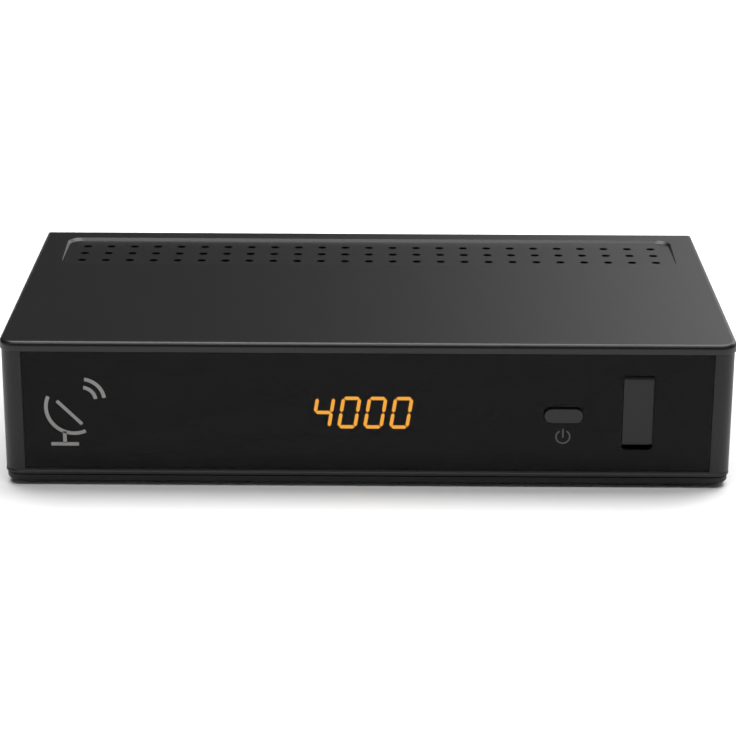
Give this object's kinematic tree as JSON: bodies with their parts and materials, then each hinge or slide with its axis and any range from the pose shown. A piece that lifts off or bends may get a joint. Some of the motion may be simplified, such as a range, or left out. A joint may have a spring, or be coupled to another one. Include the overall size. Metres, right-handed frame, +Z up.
{
  "type": "satellite receiver",
  "caption": "Flat set-top receiver with a vented lid, smoked front, digit display, power key, hinged socket cover and a row of rear sockets.",
  "frame": {"origin": "under the middle of the overall box, on the surface that the feet stand on", "axes": "+X to the right seen from the front, +Y to the back, +Z up"},
  "size_m": [0.22, 0.1284, 0.046],
  "materials": {
    "lid_abs": "moulded ABS, fine matt texture",
    "tray_abs": "moulded ABS, fine matt texture",
    "bezel_abs": "moulded ABS, satin",
    "smoked_acrylic": "smoked PMMA, polished",
    "key_abs": "moulded ABS, satin",
    "flap_abs": "moulded ABS, satin",
    "foot_rubber": "matt rubber",
    "plate_steel": "black powder-coated steel",
    "board_laminate": "green solder mask on glass-fibre laminate",
    "zinc_steel": "zinc-plated steel",
    "black_steel": "blackened steel",
    "display_epoxy": "dark filled epoxy",
    "amber_epoxy": "lit amber epoxy",
    "black_nylon": "moulded nylon",
    "eye_epoxy": "infrared-clear epoxy",
    "nickel_shell": "nickel-plated drawn steel",
    "white_nylon": "moulded nylon",
    "gold_contact": "gold-plated brass",
    "tin_plate": "tinned steel sheet",
    "nickel_brass": "nickel-plated brass",
    "orange_pbt": "moulded PBT",
    "sink_aluminium": "black anodised extrusion",
    "pad_silicone": "silicone pad",
    "chip_epoxy": "moulded epoxy",
    "can_aluminium": "sleeved aluminium can",
    "coil_ferrite": "pressed ferrite"
  },
  "bodies": {
    "case": {"top_cover": "lid_abs", "front_bezel": "bezel_abs", "front_window": "smoked_acrylic", "bottom_tray": "tray_abs", "rubber_feet": "foot_rubber", "rear_panel": "plate_steel", "front_board": "board_laminate", "front_board_screws": "zinc_steel", "led_display": "display_epoxy", "digit_segments": "amber_epoxy", "display_holder": "black_nylon", "power_switch_body": "black_nylon", "ir_receiver": "eye_epoxy", "usb_shell": "nickel_shell", "usb_tongue": "white_nylon", "link_header": "black_nylon", "link_pins": "gold_contact", "main_board": "board_laminate", "main_board_screws": "zinc_steel", "tuner_can": "tin_plate", "lnb_in_socket": "nickel_brass", "lnb_out_socket": "nickel_brass", "f_socket_washers": "zinc_steel", "f_socket_nuts": "nickel_brass", "coax_audio_body": "orange_pbt", "coax_audio_ring": "nickel_brass", "hdmi_shell": "nickel_shell", "hdmi_tongue": "black_nylon", "ethernet_port": "black_nylon", "ethernet_springs": "gold_contact", "scart_socket": "black_nylon", "dc_jack": "black_nylon", "dc_pin": "nickel_brass", "card_reader": "black_nylon", "system_chip": "chip_epoxy", "thermal_pad": "pad_silicone", "heat_sink": "sink_aluminium", "memory_chips": "chip_epoxy", "flash_chip": "chip_epoxy", "capacitors": "can_aluminium", "power_coils": "coil_ferrite", "crystal": "nickel_shell", "case_screws": "black_steel"},
    "power_button": {"power_button": "key_abs"},
    "switch_plunger": {"power_switch_plunger": "black_nylon"},
    "usb_cover": {"usb_flap": "flap_abs"}
  },
  "joints": [
    {"name": "button_press", "type": "slide", "parent": "case", "child": "power_button", "axis": [0, 1, 0], "range_m": [0, 0.0005], "stiffness_N_per_m": 3000, "springref_m": -0.0002},
    {"name": "plunger_press", "type": "slide", "parent": "case", "child": "switch_plunger", "axis": [0, 1, 0], "range_m": [0, 0.0005]},
    {"name": "usb_flap_hinge", "type": "hinge", "parent": "case", "child": "usb_cover", "pos_m": [0.08085, -0.06185, 0.03472], "axis": [-1, 0, 0], "range_deg": [0, 88]}
  ],
  "couplings": [
    {"joint": "plunger_press", "follows": "button_press", "ratio": 1}
  ]
}
